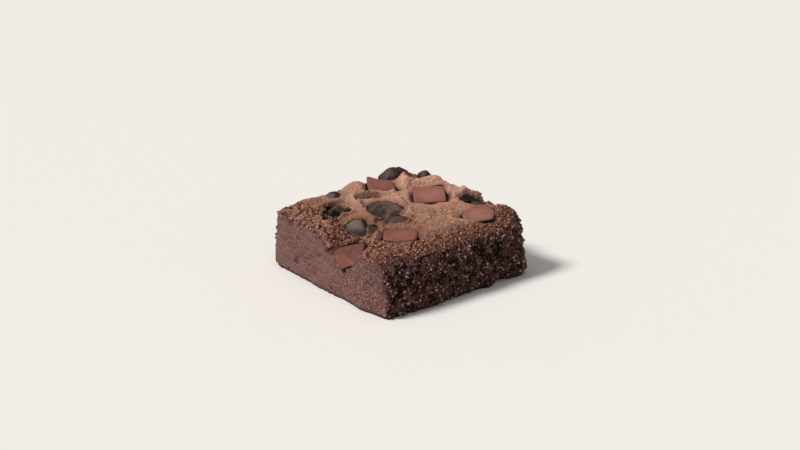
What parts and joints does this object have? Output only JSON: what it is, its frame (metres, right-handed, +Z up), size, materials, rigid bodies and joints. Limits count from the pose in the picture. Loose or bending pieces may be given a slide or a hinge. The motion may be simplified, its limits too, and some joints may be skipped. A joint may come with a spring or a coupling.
{
  "type": "chocolate brownie",
  "caption": "Square of chocolate brownie with an uneven baked crust, set with milk chocolate chunks and dark chocolate chips, above cut sides of dense crumb.",
  "frame": {"origin": "middle of the flat base, on the surface that the brownie stands on", "axes": "+Z up through the baked top; -X is the smooth knife cut and -Y the torn, crumbly side"},
  "size_m": [0.0682, 0.0689, 0.0273],
  "materials": {
    "crumb": "matt dense cake crumb with a dry tan-brown crust on top",
    "milk_chocolate": "smooth satin milk chocolate",
    "dark_chocolate": "satin dark chocolate with a soft sheen"
  },
  "bodies": {
    "root": {"brownie": "crumb", "milk_chunk_edge": "milk_chocolate", "milk_chunk_front": "milk_chocolate", "milk_chunk_flat": "milk_chocolate", "milk_chunk_right": "milk_chocolate", "milk_chunk_back": "milk_chocolate", "dark_chip_melted": "dark_chocolate", "dark_chip_small": "dark_chocolate", "dark_chip_left": "dark_chocolate", "dark_chip_left_low": "dark_chocolate", "dark_chip_hollow": "dark_chocolate", "dark_chip_back_left": "dark_chocolate", "dark_chip_back_corner": "dark_chocolate", "dark_chip_corner": "dark_chocolate", "dark_chip_back_right": "dark_chocolate", "dark_chip_back_low": "dark_chocolate", "dark_chip_right": "dark_chocolate"}
  },
  "joints": []
}
